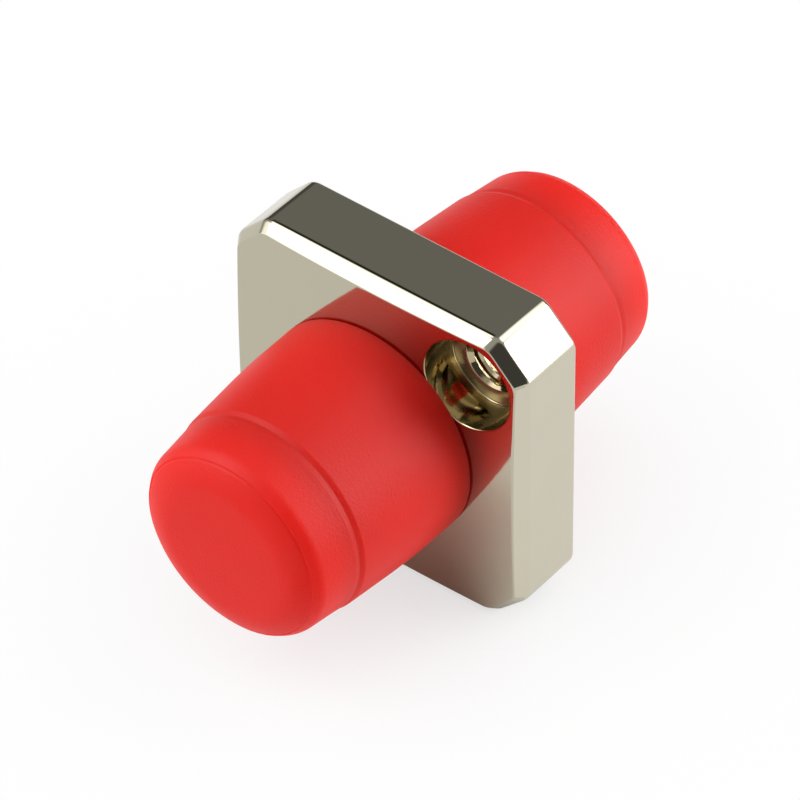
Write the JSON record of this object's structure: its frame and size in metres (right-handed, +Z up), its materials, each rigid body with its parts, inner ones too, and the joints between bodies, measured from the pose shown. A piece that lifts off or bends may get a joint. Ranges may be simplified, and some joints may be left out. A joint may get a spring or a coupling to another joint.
{
  "type": "fc fibre adapter",
  "caption": "Square-flange FC fibre adapter: bevelled nickel-plated body with threaded, keyed barrels, captive split sleeve and red slip-on dust caps.",
  "frame": {"origin": "on the fibre axis in the middle of the flange's thickness, where the two ferrules meet", "axes": "+Y along the fibre axis, out of the rear of the flange; the counterbored front faces -Y; +Z up, towards the keyways; +X to the right seen from the front"},
  "size_m": [0.014, 0.0216, 0.014],
  "materials": {
    "nickel_plated_casting": "bright nickel, slightly satin",
    "nickel_plated_brass": "bright nickel over turned brass",
    "zirconia": "polished white ceramic",
    "red_soft_plastic": "soft moulded plastic, fine mould grain"
  },
  "bodies": {
    "adapter": {"adapter_body": "nickel_plated_casting", "front_sleeve_holder": "nickel_plated_brass", "rear_sleeve_holder": "nickel_plated_brass", "split_sleeve": "zirconia"},
    "front_cap": {"front_dust_cap": "red_soft_plastic"},
    "rear_cap": {"rear_dust_cap": "red_soft_plastic"}
  },
  "joints": [
    {"name": "front_cap_slide", "type": "slide", "parent": "adapter", "child": "front_cap", "axis": [0, -1, 0], "range_m": [0, 0.02]},
    {"name": "rear_cap_slide", "type": "slide", "parent": "adapter", "child": "rear_cap", "axis": [0, 1, 0], "range_m": [0, 0.02]}
  ]
}
